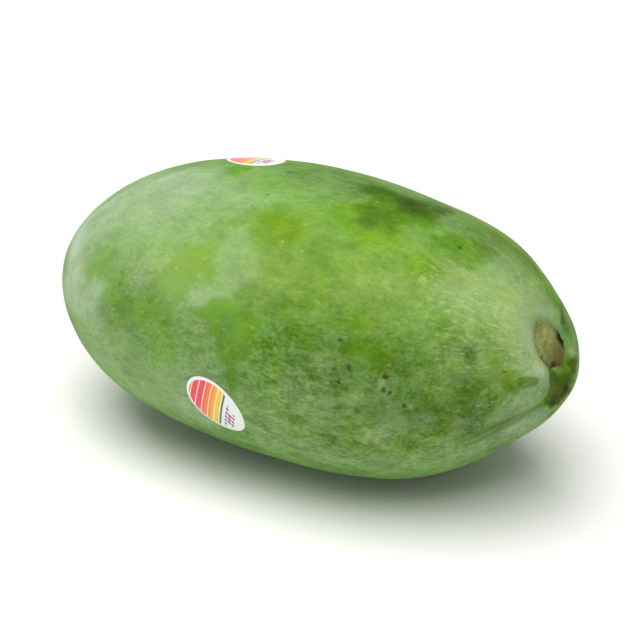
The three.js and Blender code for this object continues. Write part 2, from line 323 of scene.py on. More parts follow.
# what the skin shows and where, in layers:
# the powder layer is the waxy bloom, and in a few strokes painted highlight and painted reflected light;
# rubbed is where it came off, warmth is yellow, the depth layer is deeper green showing through, and in some
# strokes painted shade; netting is the pale net of cork, mottle is blotchiness, bruise is brown
layers = ("powderAndPaintedLight", "rubbed", "warmth", "depthAndPaintedShade", "netting", "mottle", "bruise")
strokes = {  # soft strokes on the fruit: places and radius in mm, what they add
    "upper left": ([(-59.5, -17.5, 55.5), (-50, -10.5, 65), (-37.5, -7.5, 70)], 20, {"powderAndPaintedLight": 0.47}),
    "upper left low": ([(-50, -22, 60), (-34, -25, 64.5), (-22, -24, 68)], 12, {"powderAndPaintedLight": 0.22}),
    "upper middle": ([(-38, -18.5, 67), (-28, -10, 71.5), (-14.5, -12, 73)], 14, {"powderAndPaintedLight": 0.22}),
    "left end": ([(-65, -16, 51), (-60, -26.5, 47), (-54, -32, 40), (-46, -36.5, 40)], 10,
        {"powderAndPaintedLight": 0.38}),
    # the next two strokes are painted highlights, drawn in the pale bloom colour
    "painted highlight on top": ([(-43, -6, 68.5), (-38, -1, 70.5)], 4, {"powderAndPaintedLight": 0.2}),
    "painted highlight at the end": ([(-62, -12, 56), (-56.5, -12, 60.5)], 4, {"powderAndPaintedLight": 0.25}),
    "tongue": ([(-47.5, -33.5, 48), (-42, -36.5, 46.5)], 4, {"powderAndPaintedLight": 0.2}),
    "stem shoulder": ([(50.5, -11.5, 65), (62.5, -6, 58.5), (68, -4, 49)], 12,
        {"powderAndPaintedLight": 0.39, "warmth": 0.25}),
    "round the stem": ([(69.8, -2.5, 48.5)], 11, {"bruise": 0.7}),
    "stem side": ([(59, -21.5, 52.5), (68.5, -12, 48.5)], 9, {"powderAndPaintedLight": 0.2, "warmth": 0.2}),
    "stem side high": ([(52.5, 12.5, 63), (62.5, 8, 57.5)], 12, {"powderAndPaintedLight": 0.17, "warmth": 0.15}),
    "bottom band": ([(8, -39, 19.5), (28, -37, 19.5), (46.5, -28.5, 18.5), (58.5, -19, 21)], 8,
        {"powderAndPaintedLight": 0.14}),
    "low left": ([(-37, -36.5, 24), (-20.5, -37.5, 19.5)], 12, {"powderAndPaintedLight": 0.16}),
    "middle": ([(0, -32, 64), (28, -28, 64)], 26, {"powderAndPaintedLight": -0.07, "depthAndPaintedShade": 0.1}),
    "band": ([(-5, -41.5, 48.5), (-0.5, -43.5, 41)], 9, {"depthAndPaintedShade": 0.1}),
    "band tail": ([(-1, -43.5, 41.5), (1.5, -43.5, 35)], 6, {"rubbed": 0.25}),
    "olive": ([(34, -37, 52), (38, -36, 52), (42, -35.5, 49.5)], 5,
        {"rubbed": 0.6, "depthAndPaintedShade": 0.3, "powderAndPaintedLight": -0.06, "warmth": 0.2}),
    "tick": ([(70.5, -16, 42.5), (72.5, -12.5, 42)], 2, {"rubbed": 1, "depthAndPaintedShade": 0.6}),
    "pale top": ([(-38, 3, 70)], 10, {"powderAndPaintedLight": -0.1}),
    "belly left": ([(-12, -40, 27), (8, -42, 29)], 14, {"powderAndPaintedLight": 0.09}),
    "yellow": ([(-5, -19, 71), (-0.5, -16.5, 72.5), (7, -16, 72.5)], 12, {"warmth": 0.25, "powderAndPaintedLight": -0.15}),
    "centre": ([(3, -30.5, 65), (20, -29, 65.5), (30.5, -22, 68)], 20, {"warmth": 0.22}),
    "low belly": ([(35, -39, 27.5), (48.5, -32, 25.5)], 12, {"warmth": 0.3}),
    "mid right": ([(47, -20, 63), (62, -16, 54)], 14, {"warmth": 0.12}),
    "yellow spot": ([(57, -26, 48.5), (57.2, -26, 48.2)], 2, {"warmth": 0.6}),
    "yellow spots by the stem": ([(67, -18, 46), (69, -17, 44)], 2.5, {"warmth": 0.6}),
    "under the patches": ([(-41.5, -38, 42.5), (-30, -39.5, 48), (-18, -40.5, 49.5)], 11, {"depthAndPaintedShade": 0.15}),
    "middle low": ([(7.5, -42.5, 46.5), (20.5, -42.5, 45.5), (30, -41, 45.5)], 12, {"depthAndPaintedShade": 0.35}),
    "lower flank": ([(0, -43, 38), (30, -40, 38), (58, -26, 36)], 20, {"depthAndPaintedShade": 0.3}),
    "belly": ([(10, -41, 24), (40, -33, 20)], 14, {"depthAndPaintedShade": 0.4}),
    # the next two strokes are painted shade: deeper green and less bloom in the low corner towards the stem
    "low corner": ([(30, -38, 30), (50, -31, 28), (62, -20, 28)], 14, {"depthAndPaintedShade": 0.4, "powderAndPaintedLight": -0.06}),
    "painted shade high in the low corner": ([(42, -38, 37), (57.5, -28.5, 37), (66, -18, 34)], 11,
        {"depthAndPaintedShade": 0.6, "powderAndPaintedLight": -0.12, "rubbed": 0.3}),
    # the next four strokes darken the top rim: the first two are partly the skin's own deep green and partly
    # painted shade, the other two are painted shade
    "top": ([(-9.5, 5, 74.5), (7, 3, 75), (30, 6, 73)], 13, {"depthAndPaintedShade": 0.5, "powderAndPaintedLight": 0.02}),
    "high edge": ([(16, 6.5, 74), (22, 4.5, 74), (30, 1, 73)], 8,
        {"depthAndPaintedShade": 0.5, "powderAndPaintedLight": -0.25, "rubbed": 0.9}),
    "painted shade along the skyline": ([(-3, 10, 74), (4, 10, 74.5), (16.5, 9, 74), (25, 9, 73.5), (33, 10, 71.5)], 6,
        {"depthAndPaintedShade": 0.4, "powderAndPaintedLight": 0.02}),
    "painted shade at the end of the high edge": ([(50, 9, 65), (58.5, 15, 57)], 10, {"depthAndPaintedShade": 0.4, "powderAndPaintedLight": -0.04}),
    "pale by the stem": ([(64, -1, 56), (64, -9, 55.5)], 8, {"powderAndPaintedLight": 0.1, "warmth": 0.25}),
    "net round the stem": ([(68, -1, 46)], 52, {"netting": 0.9}),
    "no net in the hollow": ([(72, -1, 44)], 22, {"netting": -1.4}),
    "shaded shoulder": ([(28, -2, 73), (36, -3, 71.5)], 5, {"powderAndPaintedLight": -0.1}),
    "net on the near side": ([(45, -21.5, 63.5), (57.5, -18.5, 56.5), (68.5, -11.5, 49)], 18,
        {"netting": 0.5}),
    "net in the middle": ([(0, -38, 55), (25, -30, 65), (10, 30, 60)], 30, {"netting": 0.25}),
    "mottled flank": ([(16, -41, 40), (45, -34, 36), (62, -24, 36)], 36, {"mottle": 0.7}),
    "mottled belly": ([(-10, -40, 20), (30, -38, 18), (50, -28, 18)], 18, {"mottle": 0.7}),
    "mottled middle": ([(-30, -38, 48), (-5, -43, 40), (15, -43, 42)], 20, {"mottle": 0.4}),
    "smooth middle": ([(-8, -30, 66), (14, -30, 65)], 22, {"mottle": -0.25}),
    "mottled low end": ([(-50, -32, 24), (-36, -36, 24)], 14, {"mottle": 0.5}),
    "beside the far label": ([(-11.5, -6.5, 74)], 8, {"powderAndPaintedLight": -0.14}),
    "rim above left": ([(-60, -13.5, 57.5), (-42, -19.5, 65), (-36, -12.5, 69.5), (-29, -7, 71.5)], 11,
        {"powderAndPaintedLight": -0.12}),
    "left middle": ([(-37.5, -31.5, 57.5), (-28.5, -34, 58), (-19, -36, 57)], 11, {"powderAndPaintedLight": 0.18}),
    "left gap": ([(-34, -35.5, 54), (-31, -36.5, 52)], 6, {"powderAndPaintedLight": 0.16}),
    "low left high": ([(-45, -35, 30.5), (-32, -41, 36), (-24, -41.5, 29), (-8, -42, 33)], 10,
        {"powderAndPaintedLight": 0.2}),
    "beside the label": ([(-14, -39, 24), (-10, -38, 19)], 8, {"powderAndPaintedLight": 0.3}),
    "upper right of the middle": ([(-6.5, -18, 71.5), (9, -15, 72.5)], 10, {"powderAndPaintedLight": 0.12}),
    "over the band": ([(-5, -39, 53.5), (1.5, -41, 50.5)], 6, {"powderAndPaintedLight": 0.14}),
    "right of the band": ([(2.5, -35, 60), (8, -36, 59)], 7, {"powderAndPaintedLight": 0.1, "rubbed": -0.2}),
    "middle bloom": ([(27, -29.5, 63.5), (30.5, -26, 65.5), (41.5, -23, 64)], 7,
        {"powderAndPaintedLight": 0.1, "warmth": 0.3}),
    "warm middle": ([(27, -35, 58), (33, -33, 59), (39, -31, 58.5)], 8, {"warmth": 0.2, "powderAndPaintedLight": 0.04}),
    "green middle": ([(19, -38, 55), (25, -38.5, 52), (30, -38.5, 51)], 6,
        {"powderAndPaintedLight": -0.02, "depthAndPaintedShade": 0.35}),
    "green spots": ([(33, -33.5, 58)], 4.5, {"powderAndPaintedLight": -0.12}),
    "green by the band": ([(7, -41, 51)], 5, {"powderAndPaintedLight": -0.1}),
    "dark spot": ([(59, -22.5, 50.5)], 3.5, {"depthAndPaintedShade": 0.8, "powderAndPaintedLight": -0.27}),
    "belly middle": ([(36, -40, 38), (43, -37.5, 42)], 6, {"powderAndPaintedLight": 0.12}),
    "warm left of the middle": ([(-23, -33.5, 59.5), (-14, -32, 61.5)], 10, {"warmth": 0.35}),
    "warm right of the middle": ([(6, -30.5, 64.5), (12, -30, 64.5)], 8, {"warmth": 0.25, "powderAndPaintedLight": 0.08}),
    "under the olive": ([(42, -35.5, 49), (50.5, -32, 47), (54, -28, 49)], 7,
        {"powderAndPaintedLight": -0.06, "depthAndPaintedShade": 0.6}),
    "dark right": ([(52.5, -24.5, 55.5), (59, -22.5, 50.5), (62.5, -17, 51.5)], 6,
        {"powderAndPaintedLight": -0.09, "depthAndPaintedShade": 0.5, "rubbed": 0.1}),
    "pale belly": ([(46, -36, 34.5), (41, -37.5, 29.5)], 8, {"powderAndPaintedLight": 0.24, "depthAndPaintedShade": -0.25}),
    "pale belly left": ([(19.5, -43, 40), (27.5, -42, 34.5)], 8, {"powderAndPaintedLight": 0.12}),
    "pale on the belly": ([(52, -32.5, 34.5)], 4.5, {"powderAndPaintedLight": 0.25}),
    "pale spot on the belly": ([(31.5, -40.5, 29)], 5, {"powderAndPaintedLight": 0.15}),
    "pale at the corner": ([(63, -24.5, 38)], 4, {"powderAndPaintedLight": 0.2}),
    "near side of the stem": ([(67, -6.5, 51), (69.5, -8, 47.5), (71.5, -9, 44)], 5,
        {"powderAndPaintedLight": 0.32, "bruise": -0.15, "warmth": 0.2}),
    "above the stem, far": ([(64, 5, 55)], 7, {"powderAndPaintedLight": 0.15}),
    "left tip": ([(-63.5, -20, 49), (-63.5, -23, 44.5), (-62.5, -25.5, 40)], 6, {"powderAndPaintedLight": 0.2}),
    "pale near the low corner": ([(58.5, -26, 45.5)], 4, {"powderAndPaintedLight": 0.28}),
    "pale in the low corner": ([(59.5, -26.5, 32.5)], 5, {"powderAndPaintedLight": 0.2}),
    "high edge far": ([(37.5, 5, 70.5), (47, 4.5, 67)], 7, {"powderAndPaintedLight": 0.06, "depthAndPaintedShade": 0.2}),
    "below the high edge": ([(14.5, -9.5, 74), (25, -15, 71.5), (30, -14, 71.5)], 8,
        {"powderAndPaintedLight": -0.17, "warmth": 0.15}),
    "between the high greens": ([(30, -10, 72), (34, -6.5, 72)], 5, {"depthAndPaintedShade": 0.2, "rubbed": 0.3}),
    "vivid high edge": ([(20, -3, 74), (25, -8.5, 73.5)], 6,
        {"rubbed": 0.35, "powderAndPaintedLight": -0.08, "warmth": 0.12}),
    "below the high shoulder": ([(62, 3, 57.5), (66, 2.5, 53)], 6, {"powderAndPaintedLight": 0.13}),
    "beside the groove": ([(69, -15, 45.5), (71.5, -8, 43)], 4, {"powderAndPaintedLight": 0.32}),
    "left of the band": ([(-20, -38, 54), (-11, -40, 51.5)], 6, {"powderAndPaintedLight": 0.16}),
    "under the band": ([(20, -42.5, 47), (26, -41.5, 47)], 6, {"powderAndPaintedLight": 0.07}),
    "cool left": ([(-66, -14, 50), (-54, -16, 61), (-32, -10, 71), (-4, -8, 74)], 15, {"warmth": -0.35}),
    "cool left end": ([(-52.5, -28, 52.5)], 5, {"powderAndPaintedLight": 0.14, "warmth": -0.2}),
    "green by the left dots": ([(-36.5, -35, 53.5)], 4, {"powderAndPaintedLight": -0.17, "warmth": 0.3}),
    "low corner green": ([(65, -21, 43.5)], 4, {"powderAndPaintedLight": 0.08, "depthAndPaintedShade": 0.25}),
    "low rim": ([(52, -27, 24.5), (63.5, -17, 26), (68, -9, 27)], 8, {"powderAndPaintedLight": 0.14}),
    # the next stroke is pale bloom together with painted light from the floor on the lower lobe
    "bloom and painted floor light below the fold": ([(72.5, -2.5, 31), (70.5, -6, 29), (68.5, -10, 28), (65.5, -13.5, 27)], 3.2,
        {"powderAndPaintedLight": 0.3}),
    "below the stem": ([(71.8, -4.5, 41.2), (73, -2, 41)], 1.6,
        {"powderAndPaintedLight": 0.35, "rubbed": -0.7, "bruise": -0.3}),
    "warm shoulder": ([(41, -15, 67.5), (50.5, -11, 64.5), (59.5, -6.5, 59.5)], 8,
        {"powderAndPaintedLight": -0.2, "warmth": 0.2}),
    "far rim": ([(50, 17, 62), (55, 18, 58), (62, 12, 54)], 10, {"powderAndPaintedLight": -0.25, "warmth": 0.15}),
    "below the band": ([(11, -43.5, 42), (14.5, -42.5, 46)], 8, {"powderAndPaintedLight": -0.1}),
    "right end": ([(69.5, -7.5, 26), (66, -14, 27)], 7, {"powderAndPaintedLight": 0.15}),
    "low shoulder": ([(46, -5, 67.5), (52, 0, 65), (56, 1, 62.5)], 8, {"powderAndPaintedLight": 0.18}),
    # the far side and below
    "mottled far side": ([(-40, 36, 30), (40, 34, 30)], 34, {"mottle": 0.8}),
    "far bloom": ([(-50, 20, 58), (-10, 38, 56), (30, 38, 55)], 26, {"powderAndPaintedLight": 0.3}),
    "far flank": ([(-40, 36, 30), (10, 44, 34), (45, 33, 30)], 18, {"powderAndPaintedLight": 0.22, "depthAndPaintedShade": 0.2}),
    "far warmth": ([(10, 30, 66), (40, 26, 60)], 18, {"warmth": 0.35}),
    "far dark": ([(-20, 42, 40), (14, 43, 44), (36, 38, 42)], 16, {"depthAndPaintedShade": 0.45, "mottle": 0.3}),
    "far net": ([(30, 38, 44), (60, 20, 46)], 24, {"netting": 0.5}),
    "apex": ([(-72, 8, 34), (-70, 15, 30)], 14, {"powderAndPaintedLight": 0.3, "warmth": 0.25}),
    "underside": ([(-40, 0, 6), (30, 0, 4)], 30, {"powderAndPaintedLight": 0.12, "warmth": 0.25}),
}
planes = {   # outlines are drawn on these: the way right, the way up, the way that they face
    "near": ((1, 0, 0), (0, 0.6, 0.8), (0, -0.8, 0.6)),
    "corner": ((0.707, 0.707, 0), (0, 0, 1), (0.707, -0.707, 0)),
    "stem end": ((0, 1, 0), (0, 0, 1), (1, 0, 0)),
    "far": ((-1, 0, 0), (0, -0.6, 0.8), (0, 0.8, 0.6)),
}
patches = {  # plane, outline in mm, how wide its edge is, what it adds
    "left dots": ("near", [(-59.5, 26.5), (-52, 23), (-45.5, 24), (-40.5, 26.5), (-35.5, 25.5), (-32.5, 23),
        (-32.5, 19), (-35, 18), (-39, 20), (-47.5, 20.5), (-53, 20.5)], 3, {"rubbed": 0.2, "powderAndPaintedLight": 0.04}),
    "left band": ("near", [(-45.5, 14), (-43.5, 16.5), (-38.5, 18), (-33.5, 17.5), (-31, 20.5), (-27.5, 24),
        (-24.5, 27.5), (-22, 31.5), (-17.5, 34), (-12.5, 32), (-12, 28.5), (-13, 25.5), (-16, 23),
        (-14.5, 19.5), (-18.5, 15), (-24, 12.5), (-32, 12), (-39.5, 11)], 1.2,
        {"rubbed": 0.52, "powderAndPaintedLight": 0.08, "mottle": 0.45}),
    "left yellow": ("near", [(-30.5, 19), (-26.5, 24), (-21.5, 26), (-18.5, 23.5), (-19.5, 17), (-24, 14),
        (-28.5, 15)], 2.5, {"warmth": 0.15}),
    # the next patch is partly real bloom and partly a painted reflection of the bright surroundings along the
    # left rim
    "bloom and painted reflection at the left rim": ("near", [(-67.5, 18.5), (-57, 22.5), (-50, 20), (-45, 19), (-43.5, 16), (-46, 11.5),
        (-52.5, 8.5), (-63.5, 11.5)], 1.5, {"powderAndPaintedLight": 0.3}),
    "sage": ("near", [(-14, 14.5), (-10, 16), (-6.5, 13.5), (-2, 10.5), (-0.5, 7), (-1.5, 3), (-7, 2.5),
        (-13, 2.5), (-16, 5.5), (-16.5, 10.5)], 1.2, {"powderAndPaintedLight": 0.11}),
    "dark band": ("near", [(-14, 17), (-9.5, 20.5), (-3.5, 22), (2.5, 22.5), (8, 21.5), (8.5, 17), (7, 11),
        (4, 6), (1.5, 2), (-0.5, 4), (-0.5, 9), (-4.5, 12.5), (-8.5, 15)], 1.3, {"rubbed": 0.68}),
    "behind the band": ("near", [(-14.5, 20.5), (-13, 23), (-10, 27.5), (-11.5, 33.5), (-12, 40.5),
        (-7.5, 43.5), (-1.5, 37.5), (2, 30), (-1.5, 24), (-7.5, 21.5), (-11, 18)], 1.8, {"powderAndPaintedLight": 0.27}),
    "top spot": ("near", [(-27, 58), (-28, 61.5), (-22.5, 60), (-20.5, 56), (-24.5, 56)], 1.5,
        {"rubbed": 0.8}),
    "yellow heart": ("near", [(-7.5, 47.5), (-2.5, 49.5), (5, 48), (9.5, 45.5), (8, 42.5), (1, 42.5),
        (-4.5, 44.5)], 2.5, {"warmth": 0.25, "rubbed": 0.68, "powderAndPaintedLight": -0.1, "depthAndPaintedShade": 0.15}),
    "high green": ("near", [(16, 56), (18, 59), (22, 60), (27.5, 59), (29.5, 55), (29, 51), (25, 50.5),
        (19.5, 52)], 2, {"rubbed": 1.1, "depthAndPaintedShade": 0.8, "powderAndPaintedLight": -0.35}),
    "high tail": ("near", [(25, 57.5), (22.5, 63), (26.5, 63.5), (34, 63.5), (34.5, 60), (31, 58)], 2,
        {"rubbed": 0.8, "depthAndPaintedShade": 0.7}),
    "shoulder green": ("near", [(37.5, 54), (42, 55.5), (46, 57), (51, 54.5), (53.5, 50), (50.5, 47.5),
        (44, 49.5), (39.5, 50.5)], 2, {"rubbed": 0.8, "depthAndPaintedShade": 0.25, "powderAndPaintedLight": -0.1}),
    "pale shoulder": ("corner", [(21, 67.5), (28.5, 65), (40, 63), (44.5, 58.5), (45, 49.5), (42.5, 47.5),
        (37.5, 51.5), (29.5, 58.5), (21.5, 62), (17.5, 65)], 3, {"powderAndPaintedLight": 0.08, "netting": 0.3}),
    "low spots": ("corner", [(29, 49), (37, 47.5), (40, 44), (44, 42), (40, 41), (36, 41.5), (33, 43.5),
        (30, 45.5)], 1.8, {"rubbed": 0.6, "depthAndPaintedShade": 0.15}),
    "low deep": ("corner", [(21, 46.5), (26, 47), (29, 43.5), (28, 39.5), (22.5, 39.5), (20, 43)], 2.5,
        {"rubbed": 0.65, "depthAndPaintedShade": 0.5, "powderAndPaintedLight": -0.05}),
    "shoulder": ("corner", [(40, 44), (44, 45), (47, 43), (46.5, 40.5), (44.5, 37.5), (41.5, 35),
        (36.5, 33.5), (30, 31), (26.5, 32), (32, 35.5), (36.5, 39.5)], 1.6, {"powderAndPaintedLight": 0.37}),
    "fold": ("corner", [(49, 30), (47, 26.5), (42.5, 22), (36.5, 16.5), (29, 15), (20, 15.5), (23.5, 18),
        (29.5, 23), (38, 26.5), (42.5, 29)], 1, {"powderAndPaintedLight": 0.04, "depthAndPaintedShade": 0.2}),
    # the groove is bare olive and brown skin, darkened further by painted shade in the hollow
    "groove": ("stem end", [(-4.5, 43), (-3, 41), (-1, 40), (1, 40.5), (3, 41), (4.5, 40.5), (4.3, 38.5),
        (4, 35.5), (2, 32.5), (-1, 31), (-3, 29.5), (-5, 32), (-6.5, 36.5), (-5, 40)], 0.7,
        {"rubbed": 1.2, "depthAndPaintedShade": 1.1, "powderAndPaintedLight": -0.8, "warmth": 0.8, "bruise": 0.35}),
    "groove bruise": ("stem end", [(0, 40), (2.6, 40), (3, 37), (2, 33), (0, 32), (-1, 34.5)], 1.2,
        {"bruise": 0.6}),
    "groove core": ("stem end", [(-0.6, 39), (1.2, 39.4), (1.8, 36), (1.2, 33.2), (0, 33.6), (-0.8, 36)],
        0.8, {"bruise": 1.1}),
    # the far side of the groove: bare deep green, and painted shade
    "groove far side": ("stem end", [(2.5, 39.5), (4.5, 40.5), (6, 40), (5, 37.5), (3.5, 34), (2, 32.5),
        (2.2, 36)], 1, {"depthAndPaintedShade": 1.4, "rubbed": 0.6, "powderAndPaintedLight": -0.25, "bruise": 0.35}),
    "beside the stem": ("stem end", [(4.6, 44.6), (5.8, 45.6), (6.8, 44.8), (6, 42.8), (4.6, 42)], 1,
        {"powderAndPaintedLight": 0.4, "rubbed": -0.5}),
    # the far side of the stem: bare deep green, and painted shade near the edge
    "far side of the stem": ("stem end", [(7, 48.5), (9.5, 49), (10.5, 46.5), (8.5, 44), (7, 44.5)], 1.2,
        {"depthAndPaintedShade": 0.9, "rubbed": 0.4, "powderAndPaintedLight": -0.1}),
    "above the stem": ("stem end", [(1, 53.5), (4, 55), (8, 53.5), (8.3, 51.3), (6.3, 48.5), (4, 50),
        (1.5, 51.8)], 1.5, {"powderAndPaintedLight": 0.3, "rubbed": -0.3}),
    "groove smear": ("stem end", [(-4, 34.5), (-1.5, 34.5), (0.5, 32.5), (-1.5, 30.5), (-3.5, 30.5),
        (-4, 32.5)], 1.2, {"bruise": 0.4}),
    "far lobe": ("stem end", [(14.5, 50), (13.5, 50), (12, 46), (8.5, 42.5), (5, 43), (8, 47), (11, 51)],
        1.2, {"powderAndPaintedLight": 0.2}),
    "scuff below": ("corner", [(-4, 20.5), (1.5, 19.5), (6.5, 18.5), (10.5, 18.5), (11.5, 16.5),
        (6.5, 15.5), (1.5, 15.5)], 1.5, {"bruise": 0.4}),
    "far patch": ("far", [(-30, 34), (-22, 38), (-12, 35), (-4, 27), (2, 18), (-6, 12), (-14, 16),
        (-24, 24)], 2.5, {"rubbed": 0.55, "depthAndPaintedShade": 0.2, "mottle": 0.3}),
    "far top patch": ("far", [(18, 52), (30, 50), (38, 42), (32, 36), (20, 40), (12, 46)], 2,
        {"rubbed": 0.6, "warmth": 0.3, "mottle": 0.3}),
    "far low patch": ("far", [(30, 8), (42, 12), (52, 6), (44, -2), (32, 0)], 3.5, {"rubbed": 0.5}),
}
lines = {    # plane, route in mm, width, what it adds
    # the crease: a line of bare, deeper green, and painted shade in the crease
    "crease": ("corner", [(47, 34.5), (46.5, 32), (43, 31), (38.5, 28.5), (31.5, 26.5), (25, 24.5)], 1.5,
        {"depthAndPaintedShade": 0.4, "rubbed": 0.5}),
    "over the crease": ("corner", [(46, 35), (42, 33), (37, 31), (30, 29), (23, 27)], 3,
        {"warmth": 0.3, "rubbed": 0.4}),
    "shoulder edge": ("corner", [(48.5, 43), (47.5, 41), (47, 38), (46.8, 35.5)], 1, {"powderAndPaintedLight": 0.3}),
    # the next line is painted shade, where the hollow round the stem begins
    "painted shade beyond the stem": ("stem end", [(13.5, 51.5), (10.5, 51), (7.5, 49)], 1.1,
        {"depthAndPaintedShade": 0.9, "rubbed": 0.9}),
}
bruises = [  # small brown marks: place and radius
    (-38, -35, 53.5, 0.4), (-37.7, -36, 51.5, 0.4), (31.5, -41.5, 36.5, 0.5), (36.5, -40, 36, 0.4),
    (39, -37, 26.5, 0.5), (43, -35.5, 26, 0.4),
]
specks = [   # small corky spots: place and radius
    (30, -37.5, 53.5, 0.4), (33.5, -39.5, 47.5, 0.6), (31.5, -41, 43.5, 0.5), (42.5, -36.5, 46, 0.7),
    (42.5, -37.5, 42.5, 0.6), (44, -36.8, 42, 0.4), (47.5, -35.5, 38.5, 0.5), (30, -40.5, 46.5, 0.3),
    (33.5, -40.5, 42, 0.35), (45, -3, 69, 0.5), (66.5, -18.5, 46, 0.4),
]
scars = [    # small tan patches beside some of them: place and radius
    (42, -37.5, 44.8, 0.7), (41.7, -37.9, 43.6, 0.5), (46.8, -36.2, 38.8, 0.4), (49, -34.8, 38.2, 0.5),
    (37.5, -39.5, 41, 0.4),
]


# what all the strokes, patches and lines add to one layer, at every point
def paintedLayer(layer, points, normals):
    total = np.zeros(len(points))
    for places, radius, adds in strokes.values():
        if layer in adds:
            total += adds[layer] * ease(1 - distanceToLine(points, places) / radius, 0, 1)
    wobble = np.zeros(len(points))
    for size, reach in fruit["wobble"]:
        wobble += reach * np.array([noise.noise(Vector(p) / size) for p in points])
    for marks, closed in ((patches, True), (lines, False)):
        for plane, outline, width, adds in marks.values():
            if layer in adds:
                right, up, facing = (np.array(axis, float) for axis in planes[plane])
                flat = np.c_[points @ right, points @ up]
                if closed:
                    soft = width * 1.2
                    share = ease(insideOutline(flat, outline) + wobble, -soft, soft)
                else:
                    share = ease(1 - distanceToLine(flat, outline) / width + wobble * 0.1, 0, 1)
                total += adds[layer] * share * ease(normals @ facing, 0, 0.15)
    return total


def makeFruit():
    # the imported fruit, merged and smoothed, guides the new skin
    guide = bpy.data.objects.new("guide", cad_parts["fruit"].data.copy())
    bpy.context.collection.objects.link(guide)
    onlySelect(guide)
    bpy.ops.object.mode_set(mode="EDIT")
    bpy.ops.mesh.select_all(action="SELECT")
    bpy.ops.mesh.remove_doubles(threshold=1e-6)
    bpy.ops.mesh.tris_convert_to_quads(face_threshold=math.radians(60), shape_threshold=math.radians(60))
    bpy.ops.object.mode_set(mode="OBJECT")
    applyModifier(guide, "SUBSURF", levels=2, render_levels=2)

    # a cube, cut up finely and rounded, has no poles
    low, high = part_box("fruit")
    bpy.ops.mesh.primitive_cube_add(size=2, location=(0, 0, 0))
    piece = bpy.context.object
    piece.name = "fruit_skin"
    onlySelect(piece)
    bpy.ops.object.mode_set(mode="EDIT")
    bpy.ops.mesh.select_all(action="SELECT")
    bpy.ops.mesh.subdivide(number_cuts=fruit["cuts"])
    bpy.ops.object.mode_set(mode="OBJECT")
    points = verticesOf(piece)
    points = np.tan(points * math.pi / 4)  # evens out the squares of the ball
    points /= np.linalg.norm(points, axis=1, keepdims=True)
    points = points * np.array((high - low) / 2) + np.array((high + low) / 2)
    moveVertices(piece, points)
    for refine in (True, False):
        applyModifier(piece, "SHRINKWRAP", target=guide, wrap_method="PROJECT", use_negative_direction=True,
                      use_positive_direction=True)
        if refine:
            applyModifier(piece, "SUBSURF", levels=1, render_levels=1)
    bpy.data.objects.remove(guide)

    # slight unevenness of a grown skin, none where it rests
    points, normals = verticesOf(piece), normalsOf(piece)
    lift = np.zeros(len(points))
    for size, height in fruit["unevenness"]:
        lift += height * np.array([noise.noise(Vector(p) / (size * mm)) for p in points])
    lift *= ease(points[:, 2] / mm, *fruit["calm"])
    points += normals * (lift * mm)[:, None]
    points[:, 2] = np.maximum(points[:, 2], 0)
    moveVertices(piece, points)

    # the painted layers
    points = points / mm
    for layer in layers:
        storeNumbers(piece, layer, paintedLayer(layer, points, normals))
    first, last = (np.array(end, float) for end in fruit["axis"])
    along = (points - first) @ (last - first) / np.linalg.norm(last - first)
    across = points - first - along[:, None] * (last - first) / np.linalg.norm(last - first)
    across /= np.maximum(np.linalg.norm(across, axis=1, keepdims=True), 1e-6)
    storeVectors(piece, "grain", np.c_[along, across[:, 1:] * fruit["girth"]] * mm)
    onlySelect(piece)
    bpy.ops.object.shade_smooth()
    return piece


# the darkest green below is the colour of painted shade, where strokes darken the skin most
skinTints = {
    "green": tint(76, 122, 8), "light green": tint(91, 143, 11), "yellow": tint(123, 153, 4),
    "deep green": tint(56, 92, 0), "darkest green of painted shade": tint(26, 50, 0), "olive": tint(122, 146, 2),
    "grass": tint(52, 108, 14), "cool bloom": tint(164, 183, 156), "warm bloom": tint(164, 187, 136),
    "pore": tint(186, 202, 120), "net": tint(194, 208, 140), "streak": tint(182, 200, 122),
    "scar": tint(160, 158, 108), "cork": tint(50, 48, 14), "dark bruise": tint(26, 13, 2),
    "light bruise": tint(98, 80, 34),
}


